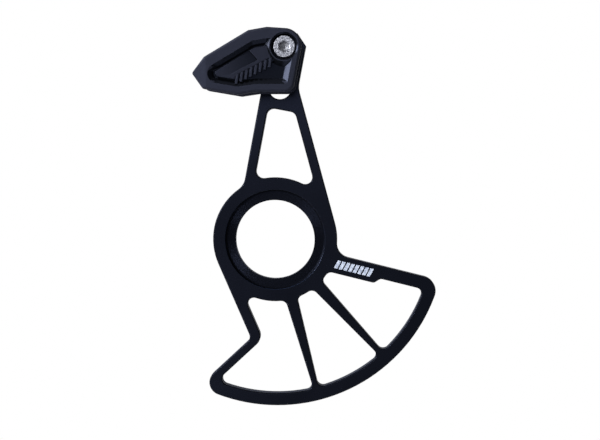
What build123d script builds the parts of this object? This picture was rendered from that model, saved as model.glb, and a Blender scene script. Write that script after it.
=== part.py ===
from build123d import *
from math import asin, atan2, cos, degrees, radians, sin, sqrt, tan
import os

# Bicycle chain guide that is clamped under the bottom bracket's drive-side cup.
# A cut aluminium plate carries a skid rim below the chainring and a moulded upper guide above it.
# The pieces are drawn as seen from the drive side: X forward, Y up, Z out of the plate towards the
# chain, with the bottom-bracket axis at X = Y = 0 and the plate's back face at Z = 0.
# upright() then stands them up, so that in the finished part Z is up and the drive side faces -Y.
# Lengths are millimetres, angles degrees.

# Plate and ring round the bottom-bracket thread
PLATE_THICKNESS = 4.0
EDGE_BREAK = 0.4
BORE_RADIUS = 17.5
RING_RADIUS = 27.5
SEAT_RADIUS = 22.2
SEAT_DEPTH = 1.5
SEAT_ROOT_RADIUS = 0.8

# Skid rim, its front arm, its rear leg and foot, and the two spokes
SKID_RADIUS = 74.7
SKID_WIDTH = 5.6
FRONT_ARM_SLOPE = 13.7
FRONT_ARM_WIDTH = 5.6
FRONT_PAD_WIDTH = 8.1
FRONT_PAD_END = 47.0
FRONT_PAD_RAMP = 2.4
FRONT_END_RADIUS = 6.5
FRONT_ROOT_RADIUS = 6.2
LEG_LEAN = 23.3
LEG_WIDTH = 4.7
KNEE_DROP = 44.4
KNEE_RADIUS = 3.0
KNEE_INNER_RADIUS = 5.2
FOOT_SLOPE = 43.2
FOOT_WIDTH = 3.7
FOOT_END_RADIUS = 5.8
SPOKE_ANGLES = (-74.7, -47.1)
SPOKE_ROOT_WIDTH = 5.3
SPOKE_TIP_WIDTH = 2.4
WINDOW_CORNER_SHARE = 0.54
FRONT_RAMP_RADIUS = 2.0

# Upper arm with its window, and the slotted head
SLOT_LEAN = 10.8
SLOT_OFFSET = 10.2
SLOT_LOW = 65.8
SLOT_SPAN = 16.7
SLOT_WIDTH = 9.8
SLOT_SIDE_WALL = 2.9
SLOT_TOP_WALL = 2.8
HEAD_CORNER_CUT = 4.6
ARM_FRONT_LEAN = 15.3
ARM_STRUT_WIDTH = 4.2
ARM_BRIDGE_WIDTH = 4.4
ARM_WINDOW_RADIUS = 3.2
ARM_ROOT_RADIUS = 7.4
ARM_NECK_RADIUS = 10.0

# Upper guide: the outline that both halves share, from the bolt's axis
TAIL_TIP = (-38.6, -10.9)
TAIL_TOP = (-33.5, -4.2)
ROOF_BREAK = (-14.9, 6.7)
ROOF_CREST = (-7.2, 8.0)
BELLY_FRONT = (-12.0, -18.7)
BELLY_LOW = (-19.5, -19.8)
CHIN = (-34.1, -17.3)
ROOF_FALL = 4.0
GUIDE_FRONT_REACH = 7.0
GUIDE_TOP_RADIUS = 7.0
GUIDE_FOOT_RADIUS = 4.0
GUIDE_CORNER_RADIUS = 1.0

# Upper guide: depths out from the plate
GUIDE_HEADROOM = 0.5
INNER_THICKNESS = 5.0
INNER_SKIN = 2.4
CHAIN_GAP = 9.6
COVER_THICKNESS = 4.4
COVER_BEVEL = 0.8
ROOF_WALL = 2.6
BOSS_RADIUS = 6.6
SKIRT_WALL = 2.0
RIB_WALL = 1.6
RIB_COUNT = 2
TAIL_FACET_LENGTH = 6.0
TAIL_FACET_DROP = 0.7
LEAD_IN = 1.2

# Upper guide: the cover's sunk panel, raised leaf and slanted bars
PANEL_ROOF_MARGIN = 4.7
PANEL_TAIL_RADIUS = 4.0
PANEL_LOW_MARGIN = 3.2
PANEL_FRONT_MARGIN = 2.8
PANEL_DEPTH = 1.7
PANEL_DRAFT = 54.0
PANEL_CORNER_RADIUS = 1.4
PANEL_BOSS_RADIUS = 6.2
PANEL_BOSS_DRAFT = 50.0
LEAF_MARGIN = 2.7
LEAF_HEIGHT = 0.9
LEAF_CORNER_RADIUS = 1.5
BAR_COUNT = 8
BAR_WIDTH = 1.0
BAR_LENGTH = 4.0
BAR_PITCH = 2.2
BAR_HEIGHT = 0.5
BAR_SLANT = 56.0
LEAF_SLOPE = 26.0
LEAF_DROP = 3.4
BAR_START = 8.2

# Fits between the pieces
KEY_LENGTH = 12.0
KEY_GAP = 0.3
SLIDE_CLEARANCE = 0.15
SPIGOT_RADIUS = 4.6
SPIGOT_HEIGHT = 1.5
PEG_RADIUS = 1.3
PEG_HEIGHT = 2.0
PEG_PAD_RADIUS = 2.8
PEG_ALONG_ROOF = 6.0
PEG_BELOW_ROOF = 3.0
FIT_CLEARANCE = 0.1
FIT_END_CLEARANCE = 0.2

# Clamp bolt and slot nut
THREAD_RADIUS = 3.0
THREAD_CLEARANCE = 0.05
BOLT_HOLE_CLEARANCE = 0.2
HEAD_RADIUS = 4.6
HEAD_HEIGHT = 4.0
HEAD_SETBACK = 1.0
HEAD_CLEARANCE = 0.6
RECESS_BEVEL_WIDTH = 0.6
RECESS_BEVEL_DEPTH = 0.45
SOCKET_FLATS = 4.0
SOCKET_DEPTH = 2.3
BOLT_POINT = 0.6
BOLT_END_SETBACK = 0.2
NUT_RADIUS = 7.2
NUT_FLANGE = 2.2

# Depths and places that follow from the sizes above
SEAT_FLOOR = PLATE_THICKNESS - SEAT_DEPTH
INNER_FACE = PLATE_THICKNESS + INNER_THICKNESS
COVER_BACK = INNER_FACE + CHAIN_GAP
COVER_FACE = COVER_BACK + COVER_THICKNESS
SPLIT = INNER_FACE + CHAIN_GAP / 2
HEAD_SEAT = COVER_FACE - HEAD_SETBACK - HEAD_HEIGHT
RECESS_RADIUS = HEAD_RADIUS + HEAD_CLEARANCE
PANEL_FLOOR = COVER_FACE - PANEL_DEPTH
KEY_WIDTH = SLOT_WIDTH - 2 * SLIDE_CLEARANCE
KEY_DEPTH = (PLATE_THICKNESS - KEY_GAP) / 2
HEAD_HALF_WIDTH = SLOT_WIDTH / 2 + SLOT_SIDE_WALL
BOLT_RUN = SLOT_LOW + SLOT_SPAN - GUIDE_HEADROOM
BOLT_HOLE_RADIUS = THREAD_RADIUS + BOLT_HOLE_CLEARANCE
FAR = 4 * SKID_RADIUS
BORE_AXIS = Vector(0, 0)


def polar(radius, angle):
    """Point at a radius and an angle from the origin."""
    return Vector(radius * cos(radians(angle)), radius * sin(radians(angle)))


def along(edge, distance):
    """Point on a straight edge, given as a point and a heading, at a distance from that point."""
    start, angle = edge
    return start + polar(distance, angle)


def beside(edge, distance):
    """The parallel edge at a distance to the left of an edge."""
    start, angle = edge
    return start + polar(distance, angle + 90), angle


def between(start, end):
    """The straight edge from one point to another."""
    step = Vector(*end) - Vector(*start)
    return Vector(*start), degrees(atan2(step.Y, step.X))


def crossing(edge, other):
    """Point where two straight edges meet."""
    start, angle = edge
    goal, other_angle = other
    gap = goal - start
    run = gap.cross(polar(1, other_angle)).Z / sin(radians(other_angle - angle))
    return start + polar(run, angle)


def polygon(*points):
    return make_face(Polyline(*[Vector(*point) for point in points], close=True))


def nearest_corner(sketch, point):
    """The corner of a sketch that lies nearest a point."""
    return sketch.vertices().sort_by_distance(Vector(*point))[0]


def rounded(sketch, point, radius):
    """Round the corner of a sketch that lies nearest a point."""
    return fillet(nearest_corner(sketch, point), radius)


def raised(sketch, low, high):
    """Extrude a sketch from one height to another."""
    return Pos(0, 0, low) * extrude(sketch, high - low, dir=(0, 0, 1))


def upright(piece):
    """Stand a piece up: drawn Y becomes Z, and drawn Z, towards the chain, becomes -Y."""
    return Plane.XZ * piece


# Straight edges that the plate is drawn from, each a point and a heading
SLOT_AXIS = beside((BORE_AXIS, 90 - SLOT_LEAN), SLOT_OFFSET)
ARM_REAR = beside(SLOT_AXIS, HEAD_HALF_WIDTH)
HEAD_FRONT = beside(SLOT_AXIS, -HEAD_HALF_WIDTH)
ARM_FRONT = beside((BORE_AXIS, 90 + ARM_FRONT_LEAN), -RING_RADIUS)
LEG_REAR = beside((BORE_AXIS, LEG_LEAN - 90), -RING_RADIUS)
KNEE = crossing(LEG_REAR, (Vector(0, -KNEE_DROP), 0))
FOOT_REAR = (KNEE, FOOT_SLOPE - 180)
FRONT_ARM_TOP = (BORE_AXIS, -FRONT_ARM_SLOPE)
SLOT_TOP = SLOT_LOW + SLOT_SPAN
HEAD_TOP = SLOT_TOP + SLOT_WIDTH / 2 + SLOT_TOP_WALL
BOLT_AT = along(SLOT_AXIS, BOLT_RUN)

# The skid windows' corners are cut with one cutter, which has to fit the front window's narrow root
PAD_ROOT_ANGLE = -FRONT_ARM_SLOPE - degrees(asin(FRONT_PAD_WIDTH / RING_RADIUS))
SPOKE_ROOT_ANGLE = max(SPOKE_ANGLES) + degrees(asin(SPOKE_ROOT_WIDTH / 2 / RING_RADIUS))
FRONT_ROOT_WIDTH = RING_RADIUS * radians(PAD_ROOT_ANGLE - SPOKE_ROOT_ANGLE)
WINDOW_CORNER_RADIUS = WINDOW_CORNER_SHARE * FRONT_ROOT_WIDTH


def skid_fan():
    """Outer shape of the lower half: rear leg, foot, skid rim and front arm in one fan."""
    foot_far = along(FOOT_REAR, FAR)
    front_far = along(FRONT_ARM_TOP, FAR)
    fan = polygon(
        BORE_AXIS, LEG_REAR[0], KNEE, foot_far,
        (foot_far.X, -2 * FAR), (front_far.X, -2 * FAR), front_far,
    ) & Circle(SKID_RADIUS)
    fan = rounded(fan, KNEE, KNEE_RADIUS)
    foot_end = along(FOOT_REAR, SKID_RADIUS - KNEE_DROP)
    fan = rounded(fan, foot_end, FOOT_END_RADIUS)
    front_end = along(FRONT_ARM_TOP, SKID_RADIUS)
    return rounded(fan, front_end, FRONT_END_RADIUS)


def upper_arm():
    """Outer shape of the upper half: the arm's two struts and the slotted head."""
    neck = crossing(ARM_FRONT, HEAD_FRONT)
    cut_start = HEAD_TOP - HEAD_CORNER_CUT
    head_end = (along(SLOT_AXIS, HEAD_TOP), SLOT_AXIS[1] - 90)
    cut_half = HEAD_HALF_WIDTH - HEAD_CORNER_CUT
    arm = polygon(
        BORE_AXIS, ARM_FRONT[0], neck,
        along(HEAD_FRONT, cut_start), along(head_end, cut_half),
        along(head_end, -cut_half), along(ARM_REAR, cut_start), ARM_REAR[0],
    )
    return rounded(arm, neck, ARM_NECK_RADIUS)


def slot_shape(run, length, width):
    """A round-ended slot along the slot's axis, with its middle at a run along that axis."""
    middle = along(SLOT_AXIS, run)
    return Pos(middle.X, middle.Y) * SlotOverall(length, width, rotation=SLOT_AXIS[1])


def arm_window():
    """Window between the arm's two struts, over the ring and under the slot."""
    rear = beside(ARM_REAR, -ARM_STRUT_WIDTH)
    front = beside(ARM_FRONT, ARM_STRUT_WIDTH)
    top_run = SLOT_LOW - SLOT_WIDTH / 2 - ARM_BRIDGE_WIDTH
    top = (along(SLOT_AXIS, top_run), SLOT_AXIS[1] - 90)
    window = polygon(rear[0], crossing(rear, top), crossing(top, front), front[0])
    window -= Circle(RING_RADIUS)
    return fillet(window.vertices(), ARM_WINDOW_RADIUS)


def spoke(angle):
    """A tapered spoke from the ring to the skid rim."""
    taper = (SPOKE_ROOT_WIDTH - SPOKE_TIP_WIDTH) / (SKID_RADIUS - SKID_WIDTH - RING_RADIUS)
    hub_half = (SPOKE_ROOT_WIDTH + taper * RING_RADIUS) / 2
    tip_half = (SPOKE_TIP_WIDTH - taper * SKID_WIDTH) / 2
    bar = polygon((0, -hub_half), (SKID_RADIUS, -tip_half), (SKID_RADIUS, tip_half), (0, hub_half))
    return Rot(0, 0, angle) * bar


def skid_windows():
    """The three windows between leg, ring, spokes, front arm and skid rim."""
    leg = beside(LEG_REAR, LEG_WIDTH)
    foot = beside(FOOT_REAR, FOOT_WIDTH)
    inner_knee = crossing(leg, foot)
    foot_far = along(foot, FAR)
    pad = beside(FRONT_ARM_TOP, -FRONT_PAD_WIDTH)
    arm = beside(FRONT_ARM_TOP, -FRONT_ARM_WIDTH)
    pad_end = along(pad, FRONT_PAD_END)
    ramp_end = along(arm, FRONT_PAD_END + FRONT_PAD_RAMP)
    arm_far = along(arm, FAR)
    field = polygon(
        leg[0], inner_knee, foot_far, (foot_far.X, -2 * FAR), (arm_far.X, -2 * FAR),
        arm_far, ramp_end, pad_end, pad[0],
    )
    field &= Circle(SKID_RADIUS - SKID_WIDTH)
    field -= Circle(RING_RADIUS)
    for angle in SPOKE_ANGLES:
        field -= spoke(angle)
    bends = [nearest_corner(field, bend) for bend in (inner_knee, ramp_end, pad_end)]
    field = fillet([corner for corner in field.vertices() if corner not in bends], WINDOW_CORNER_RADIUS)
    field = rounded(field, inner_knee, KNEE_INNER_RADIUS)
    field = rounded(field, ramp_end, FRONT_RAMP_RADIUS)
    return rounded(field, pad_end, FRONT_RAMP_RADIUS)


def backplate():
    """The plate: one cut and machined sheet, with the turned seat for the bottom-bracket cup."""
    outline = Circle(RING_RADIUS) + skid_fan() + upper_arm()
    rear_reach = SLOT_OFFSET + HEAD_HALF_WIDTH
    rear_root = along(ARM_REAR, sqrt(RING_RADIUS**2 - rear_reach**2))
    outline = rounded(outline, rear_root, ARM_ROOT_RADIUS)
    outline = rounded(outline, along(FRONT_ARM_TOP, RING_RADIUS), FRONT_ROOT_RADIUS)
    outline -= arm_window()
    outline -= skid_windows()
    outline -= slot_shape(SLOT_LOW + SLOT_SPAN / 2, SLOT_SPAN + SLOT_WIDTH, SLOT_WIDTH)
    plate = raised(outline, 0, PLATE_THICKNESS)
    levels = plate.edges().group_by(Axis.Z)
    plate = chamfer(levels[0] + levels[-1], EDGE_BREAK)
    seat = raised(Circle(SEAT_RADIUS), SEAT_FLOOR, 2 * PLATE_THICKNESS)
    seat = fillet(seat.edges().group_by(Axis.Z)[0], SEAT_ROOT_RADIUS)
    return plate - seat - raised(Circle(BORE_RADIUS), -PLATE_THICKNESS, 2 * PLATE_THICKNESS)


# Straight edges that both halves of the upper guide are drawn from, with the bolt's axis as origin
GUIDE_AXIS = (Vector(0, 0), 90 - SLOT_LEAN)
GUIDE_FRONT = beside(GUIDE_AXIS, -GUIDE_FRONT_REACH)
ROOF_FRONT = (Vector(*ROOF_CREST), -ROOF_FALL)
TOP_FRONT = crossing(ROOF_FRONT, GUIDE_FRONT)
FOOT_FRONT = crossing((Vector(*BELLY_FRONT), 0), GUIDE_FRONT)
ROOF_CORNERS = (TAIL_TOP, ROOF_BREAK, ROOF_CREST, TOP_FRONT)
ROOF_EDGES = [between(start, end) for start, end in zip(ROOF_CORNERS, ROOF_CORNERS[1:])]
PEG_AT = along(beside(ROOF_EDGES[0], -PEG_BELOW_ROOF), PEG_ALONG_ROOF)
LEAF_EDGE = beside((Vector(0, 0), LEAF_SLOPE), -LEAF_DROP)


def guide_outline():
    """Side view of the upper guide, which both halves share."""
    outline = polygon(
        FOOT_FRONT, TOP_FRONT, ROOF_CREST, ROOF_BREAK, TAIL_TOP,
        TAIL_TIP, CHIN, BELLY_LOW, BELLY_FRONT,
    )
    outline = rounded(outline, TOP_FRONT, GUIDE_TOP_RADIUS)
    outline = rounded(outline, FOOT_FRONT, GUIDE_FOOT_RADIUS)
    for corner in (TAIL_TOP, TAIL_TIP, CHIN):
        outline = rounded(outline, corner, GUIDE_CORNER_RADIUS)
    return outline


def roof_band():
    """Wall along the guide's upper edge, which closes the chain channel at the top."""
    under = [beside(edge, -ROOF_WALL) for edge in ROOF_EDGES]
    bends = [crossing(edge, after) for edge, after in zip(under, under[1:])]
    ends = [crossing(under[-1], GUIDE_FRONT), *reversed(bends), under[0][0]]
    return polygon(*ROOF_CORNERS, *ends) & guide_outline()


def core():
    """What stands in the chain channel: the roof, the bolt's boss and the pad of the locating peg."""
    peg_pad = Pos(PEG_AT.X, PEG_AT.Y) * Circle(PEG_PAD_RADIUS)
    return roof_band() + Circle(BOSS_RADIUS) + peg_pad


def peg(radius, height):
    return raised(Pos(PEG_AT.X, PEG_AT.Y) * Circle(radius), SPLIT, SPLIT + height)


def spigot(radius, height):
    return raised(Circle(radius), SPLIT, SPLIT + height)


def bolt_hole():
    return raised(Circle(BOLT_HOLE_RADIUS), 0, COVER_FACE)


def tail_wedge(face, drop):
    """Cutter for a facet on a face: it goes deeper towards the tail's tip, down for a positive drop."""
    start = TAIL_TIP[0] + TAIL_FACET_LENGTH
    end = start - 2 * TAIL_FACET_LENGTH
    clear = face + drop
    profile = Plane.XZ * polygon((start, face), (start, clear), (end, clear), (end, face - 2 * drop))
    return extrude(profile, FAR, both=True)


def panel_outline():
    """Edge of the cover's sunk panel, set in from the guide's outline and round at the tail."""
    roof = [beside(edge, -PANEL_ROOF_MARGIN) for edge in ROOF_EDGES]
    chin = beside(between(CHIN, BELLY_LOW), PANEL_LOW_MARGIN)
    rise = beside(between(BELLY_LOW, BELLY_FRONT), PANEL_LOW_MARGIN)
    belly = beside((Vector(*BELLY_FRONT), 0), PANEL_LOW_MARGIN)
    front = beside(GUIDE_FRONT, PANEL_FRONT_MARGIN)
    edges = [front, *reversed(roof), chin, rise, belly]
    corners = [crossing(edge, after) for edge, after in zip(edges, edges[1:] + edges[:1])]
    panel = polygon(*corners)
    tail = crossing(roof[0], chin)
    tail_corner = nearest_corner(panel, tail)
    panel = fillet([corner for corner in panel.vertices() if corner != tail_corner], PANEL_CORNER_RADIUS)
    return rounded(panel, tail, PANEL_TAIL_RADIUS)


def leaf():
    """Raised field in the sunk panel, round at its tail, above a slanted edge that runs up to the boss."""
    sharp = offset(panel_outline(), -LEAF_MARGIN - LEAF_CORNER_RADIUS)
    over_edge = polygon(
        along(LEAF_EDGE, -FAR), along(LEAF_EDGE, FAR),
        along(beside(LEAF_EDGE, FAR), FAR), along(beside(LEAF_EDGE, FAR), -FAR),
    )
    return offset(sharp, LEAF_CORNER_RADIUS) & over_edge


def bars():
    """Row of plain slanted bars along the leaf's lower edge."""
    row = Sketch()
    for index in range(BAR_COUNT):
        place = along(LEAF_EDGE, -BAR_START - index * BAR_PITCH)
        row += Pos(place.X, place.Y) * Rectangle(BAR_LENGTH, BAR_WIDTH, rotation=LEAF_SLOPE + BAR_SLANT)
    return row


def guide_cover():
    """Outer half of the upper guide, with its sunk panel, bolt boss and half of the roof."""
    cover = raised(guide_outline(), COVER_BACK, COVER_FACE)
    cover = chamfer(cover.edges().group_by(Axis.Z)[-1], COVER_BEVEL)
    cover -= tail_wedge(COVER_FACE, TAIL_FACET_DROP)
    cover -= tail_wedge(COVER_BACK, -LEAD_IN)
    cover -= Pos(0, 0, COVER_FACE) * extrude(panel_outline(), PANEL_DEPTH, dir=(0, 0, -1), taper=PANEL_DRAFT)
    boss_foot = PANEL_BOSS_RADIUS + PANEL_DEPTH * tan(radians(PANEL_BOSS_DRAFT))
    boss = Pos(0, 0, PANEL_FLOOR + PANEL_DEPTH / 2) * Cone(boss_foot, PANEL_BOSS_RADIUS, PANEL_DEPTH)
    cover += boss & raised(panel_outline(), PANEL_FLOOR, COVER_FACE)
    cover += raised(leaf() - Circle(PANEL_BOSS_RADIUS), PANEL_FLOOR, PANEL_FLOOR + LEAF_HEIGHT)
    cover += raised(bars(), PANEL_FLOOR, PANEL_FLOOR + LEAF_HEIGHT + BAR_HEIGHT)
    cover += raised(core(), SPLIT, COVER_BACK)
    cover -= spigot(SPIGOT_RADIUS + FIT_CLEARANCE, SPIGOT_HEIGHT + FIT_END_CLEARANCE)
    cover -= peg(PEG_RADIUS + FIT_CLEARANCE, PEG_HEIGHT + FIT_END_CLEARANCE)
    cover -= bolt_hole()
    mouth = Cone(RECESS_RADIUS, RECESS_RADIUS + RECESS_BEVEL_WIDTH, RECESS_BEVEL_DEPTH)
    cover -= Pos(0, 0, COVER_FACE - RECESS_BEVEL_DEPTH / 2) * mouth
    return cover - raised(Circle(RECESS_RADIUS), HEAD_SEAT, 2 * COVER_FACE)


def back_hollow():
    """Hollow in the inner half's back, between its skirt, its seat on the plate's head and its ribs."""
    seat = Rectangle(FAR, 2 * HEAD_HALF_WIDTH, rotation=GUIDE_AXIS[1])
    hollow = offset(guide_outline(), -SKIRT_WALL) - seat
    seat_edge = beside(GUIDE_AXIS, HEAD_HALF_WIDTH)[0].X
    pitch = (seat_edge - TAIL_TIP[0]) / (RIB_COUNT + 1)
    for index in range(RIB_COUNT):
        middle = Pos(seat_edge - (index + 1) * pitch, TAIL_TIP[1])
        hollow -= middle * Rectangle(FAR, RIB_WALL, rotation=GUIDE_AXIS[1])
    return hollow


def slot_key():
    """Round-ended key that runs in the plate's slot: it is round about the bolt and hangs below it."""
    middle = along(GUIDE_AXIS, (KEY_WIDTH - KEY_LENGTH) / 2)
    return Pos(middle.X, middle.Y) * SlotOverall(KEY_LENGTH, KEY_WIDTH, rotation=GUIDE_AXIS[1])


def guide_inner():
    """Inner half of the upper guide: it sits on the plate's head, with a key in the slot."""
    inner = raised(guide_outline(), PLATE_THICKNESS, INNER_FACE)
    inner -= tail_wedge(INNER_FACE, LEAD_IN)
    inner -= raised(back_hollow(), PLATE_THICKNESS, INNER_FACE - INNER_SKIN)
    inner += raised(core(), INNER_FACE, SPLIT)
    inner += spigot(SPIGOT_RADIUS, SPIGOT_HEIGHT)
    inner += peg(PEG_RADIUS, PEG_HEIGHT)
    inner += raised(slot_key(), PLATE_THICKNESS - KEY_DEPTH, PLATE_THICKNESS)
    return inner - bolt_hole()


def guide_bolt():
    """Low-head socket screw that clamps both halves to the plate."""
    head = raised(Circle(HEAD_RADIUS), HEAD_SEAT, HEAD_SEAT + HEAD_HEIGHT)
    head = chamfer(head.edges().group_by(Axis.Z)[-1], EDGE_BREAK)
    shank = raised(Circle(THREAD_RADIUS), BOLT_END_SETBACK - NUT_FLANGE, HEAD_SEAT)
    shank = chamfer(shank.edges().group_by(Axis.Z)[0], BOLT_POINT)
    socket_floor = HEAD_SEAT + HEAD_HEIGHT - SOCKET_DEPTH
    hexagon = RegularPolygon(SOCKET_FLATS / 2, 6, major_radius=False)
    return head + shank - raised(hexagon, socket_floor, COVER_FACE)


def slot_nut():
    """Nut behind the plate, with a round flange and a round-ended boss in the slot."""
    nut = raised(Circle(NUT_RADIUS), -NUT_FLANGE, 0)
    nut = chamfer(nut.edges().group_by(Axis.Z)[0], EDGE_BREAK)
    nut += raised(slot_key(), 0, KEY_DEPTH)
    return nut - raised(Circle(THREAD_RADIUS + THREAD_CLEARANCE), -2 * NUT_FLANGE, PLATE_THICKNESS)


def export(name, piece):
    export_step(upright(piece), f"parts/{name}.step")


os.makedirs("parts", exist_ok=True)
at_bolt = Pos(BOLT_AT.X, BOLT_AT.Y)
export("backplate", backplate())
export("guide_inner", at_bolt * guide_inner())
export("guide_cover", at_bolt * guide_cover())
export("guide_bolt", at_bolt * guide_bolt())
export("slot_nut", at_bolt * slot_nut())
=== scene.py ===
# %% [markdown]
# A bicycle chain guide: a cut plate that is clamped under the bottom-bracket cup, with a moulded guide
# for the chain bolted to its slotted head. The solids come from the CAD model and stay where they are.
# Blender adds the finishes, a screw with its thread, a scooped field on the guide's leaf and the small print
# on the arm.

# %% Load the solids
from math import cos, hypot, pi, radians, sin, tan

import bpy
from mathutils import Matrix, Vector


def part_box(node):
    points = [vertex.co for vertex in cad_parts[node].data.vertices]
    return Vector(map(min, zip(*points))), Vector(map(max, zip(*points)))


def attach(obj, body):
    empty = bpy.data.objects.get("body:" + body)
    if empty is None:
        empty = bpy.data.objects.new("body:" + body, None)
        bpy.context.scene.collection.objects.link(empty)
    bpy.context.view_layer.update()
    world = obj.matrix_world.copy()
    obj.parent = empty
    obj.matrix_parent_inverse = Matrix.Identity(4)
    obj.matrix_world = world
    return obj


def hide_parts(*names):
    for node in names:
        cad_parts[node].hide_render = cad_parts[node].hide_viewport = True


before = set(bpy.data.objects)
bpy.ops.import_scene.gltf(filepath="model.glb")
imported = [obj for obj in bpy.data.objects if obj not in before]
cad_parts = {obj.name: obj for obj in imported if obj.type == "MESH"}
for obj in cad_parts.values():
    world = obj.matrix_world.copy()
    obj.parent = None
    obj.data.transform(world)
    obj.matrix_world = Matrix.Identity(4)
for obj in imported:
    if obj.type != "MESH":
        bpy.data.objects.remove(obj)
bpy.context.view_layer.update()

MM = 0.001

# %% [markdown]
# The photograph was taken from about 400 mm away, a little above the part and to the front of it: that is
# the view in which the outline of the solids fits the picture. The focal length is written in pixels of the
# 600 by 440 picture and turned to millimetres of a lens on Blender's 36 mm sensor. The camera is aimed at
# the point that lies in the middle of the picture, so it needs no shift.

# %% Camera
PICTURE_WIDTH = 600
FOCAL_PIXELS = 908.4
SENSOR_WIDTH = 36.0
NEAR_LIMIT = 10 * MM
CAMERA_AIM = Vector((11.1, -4.0, 8.8)) * MM
CAMERA_DISTANCE = 400 * MM
CAMERA_YAW = radians(2.64)
CAMERA_PITCH = radians(4.71)

scene = bpy.context.scene
camera_data = bpy.data.cameras.new("photo_camera")
camera_data.sensor_width = SENSOR_WIDTH
camera_data.lens = FOCAL_PIXELS / PICTURE_WIDTH * SENSOR_WIDTH
camera_data.clip_start = NEAR_LIMIT
camera = bpy.data.objects.new("photo_camera", camera_data)
scene.collection.objects.link(camera)
towards_camera = Vector((
    sin(CAMERA_YAW) * cos(CAMERA_PITCH),
    -cos(CAMERA_YAW) * cos(CAMERA_PITCH),
    sin(CAMERA_PITCH),
))
camera.location = CAMERA_AIM + CAMERA_DISTANCE * towards_camera
camera.rotation_euler = (-towards_camera).to_track_quat("-Z", "Y").to_euler()
scene.camera = camera
scene.view_settings.view_transform = "Standard"
print("camera at", [round(v / MM, 1) for v in camera.location], "mm, lens", round(camera_data.lens, 2), "mm")

# %% [markdown]
# Every finish below is a small tree of nodes. One function adds a node: its options come as keywords,
# and each named input gets either a plain value or a link from another node's output. A second one turns
# the sRGB colours that people write into the linear values that a shader works with. Two more start a
# material and a mesh.

# %% Node and colour helpers


def linear(hex_colour):
    """Linear RGBA of an sRGB colour such as "#808080"."""
    channels = [int(hex_colour[i:i + 2], 16) / 255 for i in (1, 3, 5)]
    return (*[c / 12.92 if c <= 0.04045 else ((c + 0.055) / 1.055) ** 2.4 for c in channels], 1.0)


def add(tree, kind, inputs=None, **options):
    """Add a node to a tree, set its options, and give each named input a value or a link."""
    made = tree.nodes.new(kind)
    for name, value in options.items():
        setattr(made, name, value)
    for name, value in (inputs or {}).items():
        if isinstance(value, bpy.types.NodeSocket):
            tree.links.new(value, made.inputs[name])
        else:
            made.inputs[name].default_value = value
    return made


def new_material(name):
    """An empty material with an output node: returns the material, its tree and the output."""
    material = bpy.data.materials.new(name)
    material.use_nodes = True
    material.node_tree.nodes.clear()
    return material, material.node_tree, add(material.node_tree, "ShaderNodeOutputMaterial")


def new_mesh(name, verts, faces):
    """A mesh object in the scene, smooth shaded, from points in metres and faces."""
    mesh = bpy.data.meshes.new(name)
    mesh.from_pydata(verts, [], faces)
    mesh.shade_smooth()
    made = bpy.data.objects.new(name, mesh)
    scene.collection.objects.link(made)
    return made


print("the grey #808080 is", round(linear("#808080")[0], 3), "in linear values")

# %% [markdown]
# The photograph is a product shot on plain white. A pale floor and a backdrop in one swept sheet stand
# well clear of the part, so its shadow is soft and far away. The sheet is matt paper for the light that falls
# on it, and plain white for the camera and in reflections.

# %% Floor and backdrop
FLOOR_LEVEL = -900 * MM
FLOOR_FRONT = -180 * MM
BACKDROP_AT = 800 * MM
BACKDROP_TOP = 900 * MM
SWEEP_RADIUS = 250 * MM
SWEEP_STEPS = 16
FLOOR_HALF_WIDTH = 1500 * MM
PAPER = "#f2f2f2"
WHITE = "#ffffff"
STUDIO_WHITE = 1.0

profile = [(FLOOR_FRONT, FLOOR_LEVEL)]
for step in range(SWEEP_STEPS + 1):
    turn = pi / 2 * step / SWEEP_STEPS
    profile.append((
        BACKDROP_AT - SWEEP_RADIUS + SWEEP_RADIUS * sin(turn),
        FLOOR_LEVEL + SWEEP_RADIUS - SWEEP_RADIUS * cos(turn),
    ))
profile.append((BACKDROP_AT, BACKDROP_TOP))
sheet_verts = [(side * FLOOR_HALF_WIDTH, y, z) for y, z in profile for side in (-1, 1)]
sheet_faces = [(2 * i, 2 * i + 1, 2 * i + 3, 2 * i + 2) for i in range(len(profile) - 1)]
backdrop = new_mesh("paper_sweep", sheet_verts, sheet_faces)

paper, tree, out = new_material("white_paper")
path = add(tree, "ShaderNodeLightPath")
seen = add(tree, "ShaderNodeMath", {0: path.outputs["Is Camera Ray"], 1: path.outputs["Is Glossy Ray"]},
           operation="MAXIMUM")
seen = add(tree, "ShaderNodeMath", {0: seen.outputs[0], 1: path.outputs["Is Transmission Ray"]},
           operation="MAXIMUM")
matt = add(tree, "ShaderNodeBsdfDiffuse", {"Color": linear(PAPER)})
glow = add(tree, "ShaderNodeEmission", {"Color": linear(WHITE), "Strength": STUDIO_WHITE})
mixed = add(tree, "ShaderNodeMixShader", {0: seen.outputs[0], 1: matt.outputs[0], 2: glow.outputs[0]})
tree.links.new(mixed.outputs[0], out.inputs["Surface"])
backdrop.data.materials.append(paper)
print("sweep:", len(sheet_faces), "faces, floor", round(FLOOR_LEVEL / MM), "mm from the hole's axis")

# %% [markdown]
# The world is white where the camera looks straight at it. For the light on the part it is a studio: white
# behind the part, which metal shows in its reflections, and dim on the camera's side, which keeps the black
# faces black. How far a direction points along Y, from -1 to 1, says which.

# %% Studio world
STUDIO_DIM = 0.17
DIM_BELOW = -0.2
WHITE_ABOVE = 0.6

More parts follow.
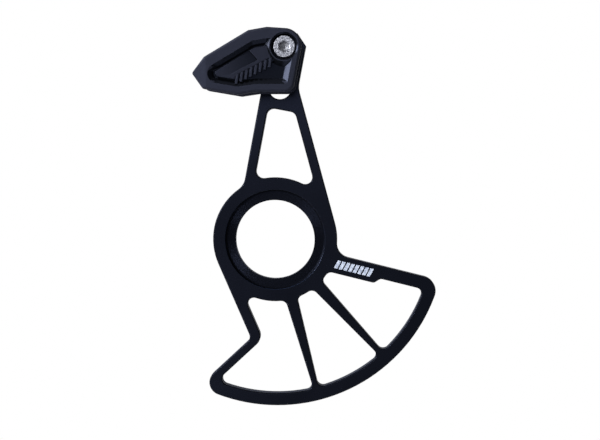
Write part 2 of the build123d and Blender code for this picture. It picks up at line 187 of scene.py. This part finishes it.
world = bpy.data.worlds.new("studio")
world.use_nodes = True
scene.world = world
tree = world.node_tree
tree.nodes.clear()
path = add(tree, "ShaderNodeLightPath")
towards = add(tree, "ShaderNodeTexCoord")
axes = add(tree, "ShaderNodeSeparateXYZ", {0: towards.outputs["Generated"]})
behind = add(tree, "ShaderNodeMapRange", {
    "Value": axes.outputs["Y"], "From Min": DIM_BELOW, "From Max": WHITE_ABOVE,
    "To Min": STUDIO_DIM, "To Max": STUDIO_WHITE,
})
level = add(tree, "ShaderNodeMath", {0: behind.outputs[0], 1: path.outputs["Is Camera Ray"]},
            operation="MAXIMUM")
sky = add(tree, "ShaderNodeBackground", {"Color": linear(WHITE), "Strength": level.outputs[0]})
add(tree, "ShaderNodeOutputWorld", {"Surface": sky.outputs[0]})
print("world:", STUDIO_DIM, "in front of the part,", STUDIO_WHITE, "behind it")

# %% [markdown]
# Six soft boxes light the part. The key is large and hangs to the upper left. A weak fill behind the camera
# is what the flat black faces mirror, and as it hangs a little high, they are lightest at the top. A small
# box stands low on the left: its image in the turned seat is the fan of sheen there, which lies along the
# line from the hole towards the lamp. A weak one overhead draws the upper edges. One stands beside the part,
# and a wall that leans to the left shows it as a bright streak. A weak glow from below, like that of a white
# card, keeps the walls that lean down from going all black. The power of a lamp grows with the square of its
# distance, so it is worked out from the light wanted on the part, where 1 would show a white card that faces
# the lamp as white. Places and sizes are in millimetres.

# %% Soft boxes
SOFT_BOXES = {
    "key_box": {"at": (-620, -560, 360), "size": 500, "light": 0.85},
    "fill_box": {"at": (-80, -950, 340), "size": 520, "light": 0.076},
    "low_box": {"at": (-420, -720, -340), "size": 230, "light": 0.17},
    "top_box": {"at": (-80, -200, 850), "size": 400, "light": 0.035},
    "side_box": {"at": (-680, -130, 280), "size": 360, "light": 1.35},
    "low_card": {"at": (130, -180, -515), "size": 350, "light": 0.15},
}

for name, box in SOFT_BOXES.items():
    lamp = bpy.data.lights.new(name, "AREA")
    lamp.size = box["size"] * MM
    stand = Vector(box["at"]) * MM
    reach = (stand - CAMERA_AIM).length
    lamp.energy = box["light"] * pi * pi * reach ** 2
    lamp_object = bpy.data.objects.new(name, lamp)
    lamp_object.location = stand
    lamp_object.rotation_euler = (CAMERA_AIM - stand).to_track_quat("-Z", "Y").to_euler()
    scene.collection.objects.link(lamp_object)
    print(name, "is", round(reach / MM), "mm away at", round(lamp.energy, 2), "W")

# %% [markdown]
# The plate is 4 mm aluminium, cut, blasted and anodised black. The dye sits in a clear oxide layer over
# metal, so the eye sees a dark, slightly blue surface with a soft sheen, a little uneven in tone. Blasting
# leaves a fine grain: glass beads make dents about 0.1 mm wide, drawn here 0.3 mm wide so that they show.
# Along the edges the dye is worn thin. The Bevel node bends the shading near an edge, so the angle between
# its normal and the plain one says where an edge is.

# %% Black anodised aluminium
PLATE_BLACK = "#06070a"
PLATE_CLOUD = "#0b0c11"
PLATE_EDGE = "#30343e"
PLATE_SHEEN = "#acbcf4"
PLATE_SPECULAR = 0.5
PLATE_SMOOTHEST = 0.2
PLATE_ROUGHEST = 0.26
GRAIN_SIZE = 0.3 * MM
GRAIN_DEPTH = 0.006 * MM
GRAIN_STRENGTH = 0.18
CLOUD_SIZE = 25 * MM
EDGE_ROUND = 0.15 * MM
EDGE_SAMPLES = 6
WEAR_STARTS = 0.995
WEAR_FULL = 0.9
WEAR_MOST = 0.5
NOISE_LOW = 0.3
NOISE_HIGH = 0.7

anodised, tree, out = new_material("black_anodised_aluminium")
coords = add(tree, "ShaderNodeTexCoord")
cloud = add(tree, "ShaderNodeTexNoise", {
    "Vector": coords.outputs["Object"], "Scale": 1 / CLOUD_SIZE, "Detail": 3.0,
})
dye = add(tree, "ShaderNodeMix", {
    "Factor": cloud.outputs["Fac"], 6: linear(PLATE_BLACK), 7: linear(PLATE_CLOUD),
}, data_type="RGBA")
rounded = add(tree, "ShaderNodeBevel", {"Radius": EDGE_ROUND}, samples=EDGE_SAMPLES)
straight = add(tree, "ShaderNodeNewGeometry")
bent = add(tree, "ShaderNodeVectorMath", {0: rounded.outputs[0], 1: straight.outputs["Normal"]},
           operation="DOT_PRODUCT")
worn = add(tree, "ShaderNodeMapRange", {
    "Value": bent.outputs["Value"], "From Min": WEAR_STARTS, "From Max": WEAR_FULL,
    "To Min": 0.0, "To Max": WEAR_MOST,
})
edged = add(tree, "ShaderNodeMix", {
    "Factor": worn.outputs[0], 6: dye.outputs[2], 7: linear(PLATE_EDGE),
}, data_type="RGBA")
grain = add(tree, "ShaderNodeTexNoise", {
    "Vector": coords.outputs["Object"], "Scale": 1 / GRAIN_SIZE, "Detail": 2.0,
})
blasted = add(tree, "ShaderNodeBump", {
    "Height": grain.outputs["Fac"], "Distance": GRAIN_DEPTH, "Strength": GRAIN_STRENGTH,
    "Normal": rounded.outputs[0],
})
sheen = add(tree, "ShaderNodeMapRange", {
    "Value": cloud.outputs["Fac"], "From Min": NOISE_LOW, "From Max": NOISE_HIGH,
    "To Min": PLATE_SMOOTHEST, "To Max": PLATE_ROUGHEST,
})
plate_shader = add(tree, "ShaderNodeBsdfPrincipled", {
    "Base Color": edged.outputs[2], "Roughness": sheen.outputs[0], "Specular IOR Level": PLATE_SPECULAR,
    "Specular Tint": linear(PLATE_SHEEN), "Normal": blasted.outputs[0],
})
tree.links.new(plate_shader.outputs[0], out.inputs["Surface"])
print("plate finish:", len(tree.nodes), "nodes")

# %% [markdown]
# The cup's seat was turned: the tool left fine rings, which spread the light into a fan of sheen along the
# line towards a lamp. They are a wave of the distance from the hole's axis, which is the frame's origin, so
# they need no texture map. The seat's finish is a copy of the plate's with the rings put in before the
# shader and a weaker mirror.

# %% Turned seat
TOOL_PITCH = 0.35 * MM
TOOL_DEPTH = 0.0165 * MM
SEAT_SPECULAR = 0.15

turned_seat = anodised.copy()
turned_seat.name = "black_anodised_turned"
tree = turned_seat.node_tree
coords = add(tree, "ShaderNodeTexCoord")
axes = add(tree, "ShaderNodeSeparateXYZ", {0: coords.outputs["Object"]})
flat = add(tree, "ShaderNodeCombineXYZ", {"X": axes.outputs["X"], "Z": axes.outputs["Z"]})
spread = add(tree, "ShaderNodeVectorMath", {0: flat.outputs[0]}, operation="LENGTH")
wave = add(tree, "ShaderNodeMath", {0: spread.outputs["Value"], 1: 2 * pi / TOOL_PITCH}, operation="MULTIPLY")
wave = add(tree, "ShaderNodeMath", {0: wave.outputs[0]}, operation="SINE")
tool_rings = add(tree, "ShaderNodeBump", {
    "Height": wave.outputs[0], "Distance": TOOL_DEPTH, "Strength": 1.0,
    "Normal": tree.nodes[blasted.name].outputs[0],
})
seat_shader = tree.nodes[plate_shader.name]
seat_shader.inputs["Specular IOR Level"].default_value = SEAT_SPECULAR
tree.links.new(tool_rings.outputs[0], seat_shader.inputs["Normal"])
print("seat finish: rings", round(TOOL_PITCH / MM, 2), "mm apart")

# %% [markdown]
# Walls that stand square to the plate were cut, and are rougher than its blasted faces, and so are its broken
# edges. Seen almost edge on, they would mirror the white paper, so each gets a copy of the finish with less
# of a mirror in it, and the dye on the cut walls is bluer. The round corner of the seat gets a third copy, in
# which a lamp shows as a thin line. Which face gets which finish follows from the way it faces and where it
# lies.

# %% Finishes on the plate
CUT_BLACK = "#10182a"
CUT_CLOUD = "#141d30"
CUT_ROUGHNESS = 0.45
CUT_SPECULAR = 0.05
CORNER_ROUGHNESS = 0.3
CORNER_SPECULAR = 0.045
FLAT_LEAN = 0.98
EDGE_LEAN = 0.8
WALL_LEAN = 0.35
SEAT_RADIUS = 22.2 * MM


def duller(material, part, roughness, specular):
    """A copy of a finish for a part of a solid: one roughness all over and a weaker mirror."""
    made = material.copy()
    made.name = material.name + "_" + part
    principled = made.node_tree.nodes["Principled BSDF"]
    made.node_tree.links.remove(principled.inputs["Roughness"].links[0])
    principled.inputs["Roughness"].default_value = roughness
    principled.inputs["Specular IOR Level"].default_value = specular
    return made


def is_wall(face):
    """True for a face that stands square to the plate."""
    return abs(face.normal.y) < WALL_LEAN


def plate_finish(face):
    """Number of the finish that a face of the plate gets, in the order in which they are put on below."""
    out_facing = -face.normal.y
    if hypot(face.center.x, face.center.z) < SEAT_RADIUS and out_facing > WALL_LEAN:
        return 2 if out_facing > FLAT_LEAN else 3
    if is_wall(face):
        return 1
    return 4 if abs(out_facing) < EDGE_LEAN else 0


def put_on(node, finishes, pick):
    """Give a CAD node its finishes: pick tells the number of the one that a face gets."""
    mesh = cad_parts[node].data
    mesh.materials.clear()
    for finish in finishes:
        mesh.materials.append(finish)
    for face in mesh.polygons:
        face.material_index = pick(face)
    picked = [face.material_index for face in mesh.polygons]
    print(node, "has", [picked.count(i) for i in range(len(finishes))], "faces in its finishes")


plate_cut = duller(anodised, "cut", CUT_ROUGHNESS, CUT_SPECULAR)
cut_dye = plate_cut.node_tree.nodes[dye.name]
cut_dye.inputs[6].default_value = linear(CUT_BLACK)
cut_dye.inputs[7].default_value = linear(CUT_CLOUD)
seat_corner = duller(anodised, "corner", CORNER_ROUGHNESS, CORNER_SPECULAR)
plate_edge = duller(anodised, "edge", CUT_ROUGHNESS, CUT_SPECULAR)
put_on("backplate", (anodised, plate_cut, turned_seat, seat_corner, plate_edge), plate_finish)

# %% [markdown]
# Both halves of the guide are moulded in nylon filled with short glass fibre. It comes out of the mould
# black but not deep: a satin grey with a grain from the spark-eroded mould, about 0.15 mm wide and drawn
# 0.35 mm wide here, and faint flow marks. The mould's sunk panel and its sloped walls were polished, so they
# come out glossier, and their colour is painted darker: partly the deeper black of the polish, partly painted
# shade in the panel's recess. How far a point lies below the cover's face, and how it faces, say where.
# Moulded edges are never sharp, so the shading rounds them.

# %% Black glass-filled nylon
NYLON_LAND = "#20222b"
NYLON_FLOW = "#262833"
NYLON_POLISHED_SHADE = "#060709"
NYLON_SHEEN = "#b0c0f4"
NYLON_SPECULAR = 0.18
LAND_ROUGHNESS = 0.56
POLISHED_ROUGHNESS = 0.2
POLISH_SHADE_START = 0.35 * MM
POLISH_SHADE_FULL = 0.79 * MM
POLISHED_SHADED_LEAN = 0.8
LEAN_SPREAD = 0.06
FLOW_SIZE = 9 * MM
MOULD_GRAIN = 0.35 * MM
MOULD_GRAIN_DEPTH = 0.03 * MM
MOULD_GRAIN_STRENGTH = 0.5
MOULDED_ROUND = 0.3 * MM
COVER_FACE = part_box("guide_cover")[0].y

nylon, tree, out = new_material("black_glass_filled_nylon")
coords = add(tree, "ShaderNodeTexCoord")
flow = add(tree, "ShaderNodeTexNoise", {
    "Vector": coords.outputs["Object"], "Scale": 1 / FLOW_SIZE, "Detail": 4.0, "Distortion": 0.8,
})
satin_grey = add(tree, "ShaderNodeMix", {
    "Factor": flow.outputs["Fac"], 6: linear(NYLON_LAND), 7: linear(NYLON_FLOW),
}, data_type="RGBA")
axes = add(tree, "ShaderNodeSeparateXYZ", {0: coords.outputs["Object"]})
# Painted shade: below the cover's face and on the sloped walls the colour is mixed towards near-black, which
# stands for the shade in the panel's recess as well as for the polish.
sunk = add(tree, "ShaderNodeMapRange", {
    "Value": axes.outputs["Y"], "From Min": COVER_FACE + POLISH_SHADE_START, "From Max": COVER_FACE + POLISH_SHADE_FULL,
})
facing = add(tree, "ShaderNodeSeparateXYZ", {0: coords.outputs["Normal"]})
sloped = add(tree, "ShaderNodeMath", {0: facing.outputs["Y"], 1: -POLISHED_SHADED_LEAN, 2: LEAN_SPREAD},
             operation="COMPARE")
polish_and_shade = add(tree, "ShaderNodeMath", {0: sunk.outputs[0], 1: sloped.outputs[0]}, operation="MAXIMUM")
shade = add(tree, "ShaderNodeMix", {
    "Factor": polish_and_shade.outputs[0], 6: satin_grey.outputs[2], 7: linear(NYLON_POLISHED_SHADE),
}, data_type="RGBA")
satin = add(tree, "ShaderNodeMapRange", {
    "Value": polish_and_shade.outputs[0], "To Min": LAND_ROUGHNESS, "To Max": POLISHED_ROUGHNESS,
})
grain = add(tree, "ShaderNodeTexNoise", {
    "Vector": coords.outputs["Object"], "Scale": 1 / MOULD_GRAIN, "Detail": 2.0,
})
rounded = add(tree, "ShaderNodeBevel", {"Radius": MOULDED_ROUND}, samples=EDGE_SAMPLES)
grained = add(tree, "ShaderNodeBump", {
    "Height": grain.outputs["Fac"], "Distance": MOULD_GRAIN_DEPTH, "Strength": MOULD_GRAIN_STRENGTH,
    "Normal": rounded.outputs[0],
})
nylon_shader = add(tree, "ShaderNodeBsdfPrincipled", {
    "Base Color": shade.outputs[2], "Roughness": satin.outputs[0], "Specular IOR Level": NYLON_SPECULAR,
    "Specular Tint": linear(NYLON_SHEEN), "Normal": grained.outputs[0],
})
tree.links.new(nylon_shader.outputs[0], out.inputs["Surface"])
print("nylon finish:", len(tree.nodes), "nodes, polished", POLISH_SHADE_FULL / MM, "mm below the cover's face")

# %% [markdown]
# Only the cover's panel is polished and darkened with painted shade. Everything else stays satin, and gets a
# copy of the nylon without the polish and its painted shade: one for walls, with hardly any mirror in it, and
# one for the rest. On the cover the way a face leans tells the panel and the rim from its outer bevel.

# %% Finishes on the guide
WALL_SPECULAR = 0.01
WALL_ROUGHNESS = 0.65
LEVEL_LEAN = 0.9999


def unpolished_unshaded(part, roughness, specular):
    """A copy of the nylon that keeps the satin grey at every depth, without the painted shade of the panel.
    """
    made = duller(nylon, part, roughness, specular)
    nodes = made.node_tree.nodes
    grey = nodes[satin_grey.name].outputs[2]
    made.node_tree.links.new(grey, nodes[nylon_shader.name].inputs["Base Color"])
    return made


def cover_finish(face):
    """Number of the finish that a face of the cover gets: panel and rim, wall, or plain satin."""
    out_facing = -face.normal.y
    if is_wall(face):
        return 1
    is_level = out_facing > LEVEL_LEAN
    is_polished_shaded = abs(out_facing - POLISHED_SHADED_LEAN) < LEAN_SPREAD
    return 0 if is_level or is_polished_shaded else 2


nylon_walls = unpolished_unshaded("wall", WALL_ROUGHNESS, WALL_SPECULAR)
nylon_satin = unpolished_unshaded("satin", LAND_ROUGHNESS, NYLON_SPECULAR)
put_on("guide_cover", (nylon, nylon_walls, nylon_satin), cover_finish)
put_on("guide_inner", (nylon_satin, nylon_walls), is_wall)

# %% [markdown]
# The raised leaf in the panel is not quite flat. A field along the bars stands a third of a millimetre proud,
# and above it the leaf is scooped out, deeper and deeper towards the boss, where the scoop ends in a step. It
# could be carved into the leaf, but a thin closed piece laid on it leaves the solid as it is. Each station
# gives three points across the leaf, in millimetres from the screw's axis, and the share of the field's
# height that is scooped away there. As the nylon's colour is painted darker with depth, partly for the polish
# and partly as painted shade, the scoop darkens by itself.

# %% Scooped field on the leaf
LEAF_TOP = COVER_FACE + 0.8 * MM
FIELD_HEIGHT = 0.35 * MM
FIELD_SINK = 0.02 * MM
FIELD_DRAFT = 0.12
FIELD_SHARP = radians(15)
STATIONS = (
    {"top": (-28.6, -10.75), "scoop": (-28.6, -11.05), "low": (-28.55, -11.35), "depth": 0.0},
    {"top": (-27.95, -9.87), "scoop": (-27.9, -11.6), "low": (-27.85, -12.15), "depth": 0.0},
    {"top": (-26.5, -8.97), "scoop": (-26.2, -12.0), "low": (-25.9, -12.6), "depth": 0.05},
    {"top": (-23.5, -7.2), "scoop": (-22.4, -11.6), "low": (-20.7, -13.4), "depth": 0.2},
    {"top": (-21.0, -5.74), "scoop": (-20.0, -10.1), "low": (-20.2, -11.75), "depth": 0.4},
    {"top": (-14.4, -1.85), "scoop": (-11.1, -5.55), "low": (-10.6, -6.9), "depth": 0.95},
    {"top": (-14.25, -1.76), "scoop": (-10.98, -5.45), "low": (-10.5, -6.85), "depth": 0.0},
    {"top": (-12.45, -0.71), "scoop": (-10.5, -4.0), "low": (-9.0, -6.1), "depth": 0.0},
    {"top": (-7.15, 0.2), "scoop": (-6.55, -2.4), "low": (-5.45, -4.35), "depth": 0.0},
)

bolt_low, bolt_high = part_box("guide_bolt")
bolt_centre = (bolt_low + bolt_high) / 2


def across(station):
    """Points across the leaf at a station, from its upper edge to the bars."""
    top, scoop, low = [Vector(station[name]) for name in ("top", "scoop", "low")]
    down = FIELD_DRAFT * (low - top).normalized()
    scooped = FIELD_HEIGHT * (1 - station["depth"])
    places = [
        (top - down, -FIELD_SINK), (top, scooped), (scoop, scooped),
        (scoop + down, FIELD_HEIGHT), (low, FIELD_HEIGHT), (low + down, -FIELD_SINK),
    ]
    return [(bolt_centre.x + p.x * MM, LEAF_TOP - height, bolt_centre.z + p.y * MM) for p, height in places]


sections = [across(station) for station in STATIONS]
per_section = len(sections[0])
field_verts = [point for section in sections for point in section]
field_faces = []
for row in range(len(sections) - 1):
    first, second = row * per_section, (row + 1) * per_section
    for i in range(per_section):
        after = (i + 1) % per_section
        field_faces.append((first + i, first + after, second + after, second + i))
field_faces.append(tuple(reversed(range(per_section))))
field_faces.append(tuple(range(len(field_verts) - per_section, len(field_verts))))
field = new_mesh("leaf_field", field_verts, field_faces)
field.data.set_sharp_from_angle(angle=FIELD_SHARP)
field.data.materials.append(nylon)
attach(field, "guide")
print("field on the leaf:", len(field_faces), "faces,", FIELD_HEIGHT / MM, "mm high")

# %% [markdown]
# The screw and its nut are steel with a thin, bright nickel plate: a pale metal, smooth but not a mirror.
# The head was turned, which leaves rings too fine to see one by one, drawn here 0.2 mm apart, and the plating
# is pitted.

# %% Nickel-plated steel
NICKEL = "#cbceda"
NICKEL_DULL = "#50535e"
NICKEL_SMOOTHEST = 0.42
NICKEL_ROUGHEST = 0.5
PLATING_SIZE = 2.5 * MM
HEAD_RINGS = 0.2 * MM
RING_DEPTH = 0.004 * MM
RING_STRENGTH = 0.6
PIT_SIZE = 0.45 * MM
PIT_DEPTH = 0.12 * MM
PIT_STARTS = 0.44
PIT_FULL = 0.62
HEAD_PITTING = 0.9

nickel, tree, out = new_material("nickel_plated_steel")
coords = add(tree, "ShaderNodeTexCoord")
patch = add(tree, "ShaderNodeTexNoise", {
    "Vector": coords.outputs["Object"], "Scale": 1 / PLATING_SIZE, "Detail": 3.0,
})
pits = add(tree, "ShaderNodeTexNoise", {
    "Vector": coords.outputs["Object"], "Scale": 1 / PIT_SIZE, "Detail": 2.0,
})
speck = add(tree, "ShaderNodeMapRange", {
    "Value": pits.outputs["Fac"], "From Min": PIT_STARTS, "From Max": PIT_FULL,
})
plating = add(tree, "ShaderNodeMix", {
    "Factor": speck.outputs[0], 6: linear(NICKEL), 7: linear(NICKEL_DULL),
}, data_type="RGBA")
from_axis = add(tree, "ShaderNodeVectorMath", {0: coords.outputs["Object"], 1: bolt_centre},
                operation="SUBTRACT")
axes = add(tree, "ShaderNodeSeparateXYZ", {0: from_axis.outputs[0]})
flat = add(tree, "ShaderNodeCombineXYZ", {"X": axes.outputs["X"], "Z": axes.outputs["Z"]})
spread = add(tree, "ShaderNodeVectorMath", {0: flat.outputs[0]}, operation="LENGTH")
wave = add(tree, "ShaderNodeMath", {0: spread.outputs["Value"], 1: 2 * pi / HEAD_RINGS}, operation="MULTIPLY")
wave = add(tree, "ShaderNodeMath", {0: wave.outputs[0]}, operation="SINE")
head_rings = add(tree, "ShaderNodeBump", {
    "Height": wave.outputs[0], "Distance": RING_DEPTH, "Strength": RING_STRENGTH,
})
pitted = add(tree, "ShaderNodeBump", {
    "Height": pits.outputs["Fac"], "Distance": PIT_DEPTH, "Strength": HEAD_PITTING,
    "Normal": head_rings.outputs[0],
})
smooth = add(tree, "ShaderNodeMapRange", {
    "Value": patch.outputs["Fac"], "From Min": NOISE_LOW, "From Max": NOISE_HIGH,
    "To Min": NICKEL_SMOOTHEST, "To Max": NICKEL_ROUGHEST,
})
nickel_shader = add(tree, "ShaderNodeBsdfPrincipled", {
    "Base Color": plating.outputs[2], "Metallic": 1.0, "Roughness": smooth.outputs[0],
    "Normal": pitted.outputs[0],
})
tree.links.new(nickel_shader.outputs[0], out.inputs["Surface"])
print("nickel finish:", len(tree.nodes), "nodes, axis at", [round(v / MM, 2) for v in bolt_centre], "mm")

# %% [markdown]
# Plating hardly reaches into a deep hole, and shade falls there, so the screw's socket gets a copy of the
# nickel
# in a darker tone: partly thinner plating, partly painted shade. The nut and the threaded end were turned and
# not pitted much, so theirs has a more even tone and hardly any pits.

# %% Nickel in the socket and on the nut
# Painted shade: the socket's darker tones stand for the shade inside the hole as well as the thinner plating.
NICKEL_SHADED_SOCKET = "#a6a8b0"
NICKEL_SHADED_SOCKET_DULL = "#74767e"
NICKEL_TURNED = "#b4b7c2"
NICKEL_TURNED_DULL = "#9a9da8"
TURNED_PITTING = 0.15


def plated(part, bright, dull, pitting):
    """A copy of the nickel for a part of the screw or its nut, with its own tones and depth of pits."""
    made = nickel.copy()
    made.name = nickel.name + "_" + part
    nodes = made.node_tree.nodes
    nodes[plating.name].inputs[6].default_value = linear(bright)
    nodes[plating.name].inputs[7].default_value = linear(dull)
    nodes[pitted.name].inputs["Strength"].default_value = pitting
    return made


nickel_shaded_socket = plated("socket", NICKEL_SHADED_SOCKET, NICKEL_SHADED_SOCKET_DULL, HEAD_PITTING)
nickel_turned = plated("turned", NICKEL_TURNED, NICKEL_TURNED_DULL, TURNED_PITTING)
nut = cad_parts["slot_nut"]
nut.data.materials.clear()
nut.data.materials.append(nickel_turned)
print("copies of the nickel:", nickel_shaded_socket.name, "and", nickel_turned.name)

# %% [markdown]
# The screw is an M6 with a low head and a hexagon socket. It is one loft of rings of points, where a ring
# has a radius and a depth for every angle. A round ring has one radius, a hexagon's radius grows towards its
# corners, and a thread's radius rises and falls as the ring climbs, a turn ahead for every pitch. The cone at
# the socket's mouth meets the hexagon less deep at its corners, so there the depth changes too. This cell
# holds the screw's sizes and these few formulas.

# %% Sizes of the screw
TURN_STEPS = 96
SOCKET_FLATS = 4.0 * MM
SOCKET_DEPTH = 2.3 * MM
SOCKET_MOUTH = 2.5 * MM
MOUTH_SLOPE = radians(38)
DRILL_RADIUS = 1.2 * MM
DRILL_POINT = 0.7 * MM
HEAD_HEIGHT = 4.0 * MM
SHOULDER_WIDTH = 0.35 * MM
SHOULDER_DROP = 0.6 * MM
SHOULDER_STEPS = 6
CREASE = 0.04 * MM
THREAD_RADIUS = 3.0 * MM
THREAD_PITCH = 1.0 * MM
THREAD_DEPTH = 0.55 * MM
THREAD_LENGTH = 14 * MM
THREAD_STEP = 0.1 * MM
FLANK_SHARE = 0.4
TIP_LENGTH = 0.6 * MM

head_radius = (bolt_high.x - bolt_low.x) / 2
head_face, tip_face = bolt_low.y, bolt_high.y
head_back = head_face + HEAD_HEIGHT
socket_floor = head_face + SOCKET_DEPTH
thread_start = tip_face - THREAD_LENGTH


def hexagon(angle):
    """Radius of the socket's hexagon at an angle."""
    return SOCKET_FLATS / 2 / cos((angle + pi / 6) % (pi / 3) - pi / 6)


def mouth(angle):
    """Depth at which the cone at the socket's mouth meets the hexagon."""
    return head_face + (SOCKET_MOUTH - hexagon(angle)) * tan(MOUTH_SLOPE)


def thread(angle, y):
    """Radius of the thread at an angle and a depth: flanks take a share of the pitch, the tip tapers."""
    climb = ((y - thread_start) / THREAD_PITCH - angle / (2 * pi)) % 1
    ridge = min(1.0, (0.5 - abs(climb - 0.5)) / FLANK_SHARE)
    crest = THREAD_RADIUS - max(0.0, y - (tip_face - TIP_LENGTH))
    return min(crest, THREAD_RADIUS - THREAD_DEPTH * (1 - ridge))


def ring_points(radius, y):
    """Points of one ring: its radius and its depth are numbers, or functions of the angle."""
    points = []
    for i in range(TURN_STEPS):
        angle = 2 * pi * i / TURN_STEPS
        r = radius(angle) if callable(radius) else radius
        depth = y(angle) if callable(y) else y
        points.append((bolt_centre.x + r * cos(angle), depth, bolt_centre.z + r * sin(angle)))
    return points


print("screw: head", round(2 * head_radius / MM, 1), "mm across, thread", THREAD_LENGTH / MM, "mm long")

# %% [markdown]
# Now the rings are listed from the bottom of the socket, up over the head, and down the thread to the tip,
# and each is joined to the next. Two rings set close together keep a crease sharp. The tiny rings on the axis
# are closed with a cap at either end.

# %% Screw with socket and thread
AXIS_GAP = 0.02 * MM
SOCKET_ROWS = 3
SCREW_SHARP = radians(35)

rings = [
    ring_points(AXIS_GAP, socket_floor + DRILL_POINT),
    ring_points(DRILL_RADIUS, socket_floor),
    ring_points(hexagon, socket_floor),
    ring_points(hexagon, mouth),
    ring_points(SOCKET_MOUTH, head_face),
    ring_points(SOCKET_MOUTH + CREASE, head_face),
    ring_points(head_radius - SHOULDER_WIDTH - CREASE, head_face),
]
for i in range(SHOULDER_STEPS + 1):
    bend = pi / 2 * i / SHOULDER_STEPS
    edge = head_radius - SHOULDER_WIDTH * (1 - sin(bend))
    rings.append(ring_points(edge, head_face + SHOULDER_DROP * (1 - cos(bend))))
rings.append(ring_points(head_radius, head_back))
rings.append(ring_points(THREAD_RADIUS, head_back))
for i in range(round(THREAD_LENGTH / THREAD_STEP) + 1):
    y = thread_start + i * THREAD_STEP
    rings.append(ring_points(lambda angle: thread(angle, y), y))
rings.append(ring_points(AXIS_GAP, tip_face))

screw_verts = [point for ring in rings for point in ring]
screw_faces = []
for row in range(len(rings) - 1):
    first, second = row * TURN_STEPS, (row + 1) * TURN_STEPS
    for i in range(TURN_STEPS):
        after = (i + 1) % TURN_STEPS
        screw_faces.append((first + i, second + i, second + after, first + after))
socket_cap = len(screw_faces)
screw_faces.append(tuple(range(TURN_STEPS)))
screw_faces.append(tuple(reversed(range(len(screw_verts) - TURN_STEPS, len(screw_verts)))))
screw = new_mesh("clamp_screw", screw_verts, screw_faces)
for finish in (nickel, nickel_shaded_socket, nickel_turned):
    screw.data.materials.append(finish)
for face in screw.data.polygons:
    if face.index < SOCKET_ROWS * TURN_STEPS or face.index == socket_cap:
        face.material_index = 1
    elif face.center.y > head_back:
        face.material_index = 2
screw.data.set_sharp_from_angle(angle=SCREW_SHARP)
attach(screw, "guide")
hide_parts("guide_bolt")
print("screw:", len(rings), "rings,", len(screw_faces), "faces")

# %% [markdown]
# The real arm carries a small white print. Here it is a row of plain slanted bars, printed on the pad of
# the front arm: a film of ink 0.03 mm thick. The bars are closed bodies, sunk a hair into the plate so that
# no two faces lie in one plane.

# %% Printed bars
ARM_SLOPE = radians(13.7)
PRINT_START = 28.3 * MM
PRINT_END = 46.0 * MM
PRINT_TOP = 2.1 * MM
PRINT_BOTTOM = 5.8 * MM
PRINT_BARS = 8
PRINT_FILL = 0.72
PRINT_LEAN = 0.9 * MM
INK_THICKNESS = 0.03 * MM
INK_SINK = 0.01 * MM
PLATE_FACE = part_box("backplate")[0].y

ink_verts, ink_faces = [], []
bar_pitch = (PRINT_END - PRINT_START - PRINT_LEAN) / PRINT_BARS
for bar in range(PRINT_BARS):
    start = PRINT_START + bar * bar_pitch
    end = start + PRINT_FILL * bar_pitch
    corners = [
        (start, PRINT_BOTTOM), (end, PRINT_BOTTOM),
        (end + PRINT_LEAN, PRINT_TOP), (start + PRINT_LEAN, PRINT_TOP),
    ]
    first = len(ink_verts)
    for height in (-INK_SINK, INK_THICKNESS):
        for run, drop in corners:
            ink_verts.append((
                run * cos(ARM_SLOPE) - drop * sin(ARM_SLOPE),
                PLATE_FACE - height,
                -run * sin(ARM_SLOPE) - drop * cos(ARM_SLOPE),
            ))
    ink_faces.append(tuple(first + 4 + i for i in range(4)))
    ink_faces.append(tuple(first + i for i in reversed(range(4))))
    for i in range(4):
        after = (i + 1) % 4
        ink_faces.append((first + i, first + after, first + 4 + after, first + 4 + i))
print_bars = new_mesh("arm_print", ink_verts, ink_faces)
print_bars.data.shade_flat()
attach(print_bars, "plate")
print("print:", PRINT_BARS, "bars,", round(bar_pitch / MM, 2), "mm apart")

# %% [markdown]
# The ink was pressed on with a soft pad and is matt. It is thinner in small spots, about 1.2 mm wide, where
# the black below greys it.

# %% Pad-printed ink
INK_WHITE = "#d2dcf0"
INK_THIN = "#a0acc4"
INK_ROUGHNESS = 0.55
INK_IOR = 1.45
SPOT_SIZE = 1.2 * MM
SPOT_THIN = 0.35
SPOT_FULL = 0.55

ink, tree, out = new_material("pad_print_ink")
coords = add(tree, "ShaderNodeTexCoord")
spots = add(tree, "ShaderNodeTexNoise", {
    "Vector": coords.outputs["Object"], "Scale": 1 / SPOT_SIZE, "Detail": 5.0,
})
film = add(tree, "ShaderNodeMapRange", {
    "Value": spots.outputs["Fac"], "From Min": SPOT_THIN, "From Max": SPOT_FULL,
})
ink_tone = add(tree, "ShaderNodeMix", {
    "Factor": film.outputs[0], 6: linear(INK_THIN), 7: linear(INK_WHITE),
}, data_type="RGBA")
ink_shader = add(tree, "ShaderNodeBsdfPrincipled", {
    "Base Color": ink_tone.outputs[2], "Roughness": INK_ROUGHNESS, "IOR": INK_IOR,
})
tree.links.new(ink_shader.outputs[0], out.inputs["Surface"])
print_bars.data.materials.append(ink)
print("ink finish:", len(tree.nodes), "nodes")
